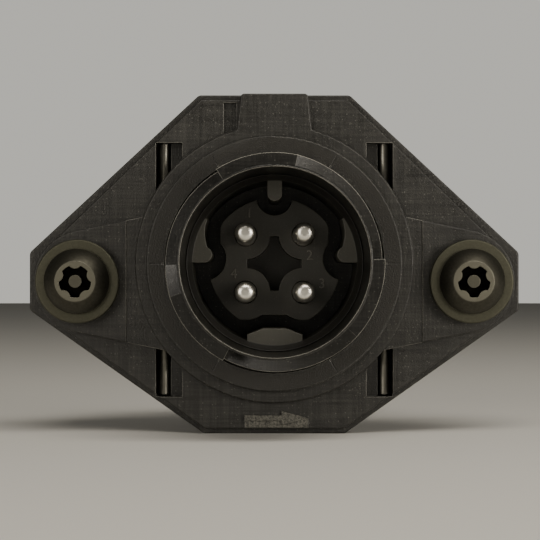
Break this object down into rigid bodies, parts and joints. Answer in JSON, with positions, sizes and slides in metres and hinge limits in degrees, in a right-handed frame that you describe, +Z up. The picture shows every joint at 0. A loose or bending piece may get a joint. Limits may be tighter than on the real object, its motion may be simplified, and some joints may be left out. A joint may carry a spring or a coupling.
{
  "type": "flanged round connector inlet",
  "caption": "Flanged four-pole round connector inlet with a twist-lock barrel, coded socket, wire retaining clip and pin-recess fixing screws.",
  "frame": {"origin": "on the barrel's axis, in the plane of the flange's mounting face", "axes": "-Y points out of the socket towards the mating plug, +Z is up as mounted, +X is to the right seen from the front"},
  "size_m": [0.0608, 0.036, 0.0421],
  "materials": {
    "flange_nylon": "moulded black glass-filled nylon, fine texture",
    "barrel_nylon": "moulded black glass-filled nylon, satin",
    "coding_polymer": "dark olive-grey moulded polyester",
    "carrier_nylon": "moulded dark grey nylon",
    "contact_plating": "bright plated copper alloy",
    "lock_polymer": "moulded rust-red polyester",
    "silicone": "soft orange-brown silicone",
    "cap_nylon": "moulded black nylon",
    "seal_rubber": "black rubber",
    "spring_steel": "drawn stainless spring wire",
    "sleeve_steel": "turned steel, zinc plated",
    "washer_zinc": "stamped steel, olive-grey zinc plated",
    "screw_zinc": "cold-headed steel, dark zinc plated, worn recess"
  },
  "bodies": {
    "connector": {"flange_plate": "flange_nylon", "barrel_housing": "barrel_nylon", "coding_ring": "coding_polymer", "contact_carrier": "carrier_nylon", "contact_pin_1": "contact_plating", "contact_pin_2": "contact_plating", "contact_pin_3": "contact_plating", "contact_pin_4": "contact_plating", "contact_lock": "lock_polymer", "wire_grommet": "silicone", "grommet_cap": "cap_nylon", "panel_seal": "seal_rubber", "flange_seal": "seal_rubber", "sleeve_left": "sleeve_steel", "sleeve_right": "sleeve_steel"},
    "clip": {"retaining_clip": "spring_steel"},
    "left_washer": {"washer_left": "washer_zinc"},
    "left_screw": {"screw_left": "screw_zinc"},
    "right_washer": {"washer_right": "washer_zinc"},
    "right_screw": {"screw_right": "screw_zinc"}
  },
  "joints": [
    {"name": "clip_pull", "type": "slide", "parent": "connector", "child": "clip", "axis": [0, 0, 1], "range_m": [0, 0.026]},
    {"name": "left_screw_travel", "type": "slide", "parent": "connector", "child": "left_washer", "axis": [0, -1, 0], "range_m": [0, 0.007]},
    {"name": "left_screw_turn", "type": "hinge", "parent": "left_washer", "child": "left_screw", "pos_m": [-0.0242, -0.0084, -0.0022], "axis": [0, -1, 0], "range_deg": [0, 3600]},
    {"name": "right_screw_travel", "type": "slide", "parent": "connector", "child": "right_washer", "axis": [0, -1, 0], "range_m": [0, 0.007]},
    {"name": "right_screw_turn", "type": "hinge", "parent": "right_washer", "child": "right_screw", "pos_m": [0.0242, -0.0084, -0.0022], "axis": [0, -1, 0], "range_deg": [0, 3600]}
  ],
  "couplings": [
    {"joint": "left_screw_turn", "follows": "left_screw_travel", "rad_per_m": 8976},
    {"joint": "right_screw_turn", "follows": "right_screw_travel", "rad_per_m": 8976}
  ]
}
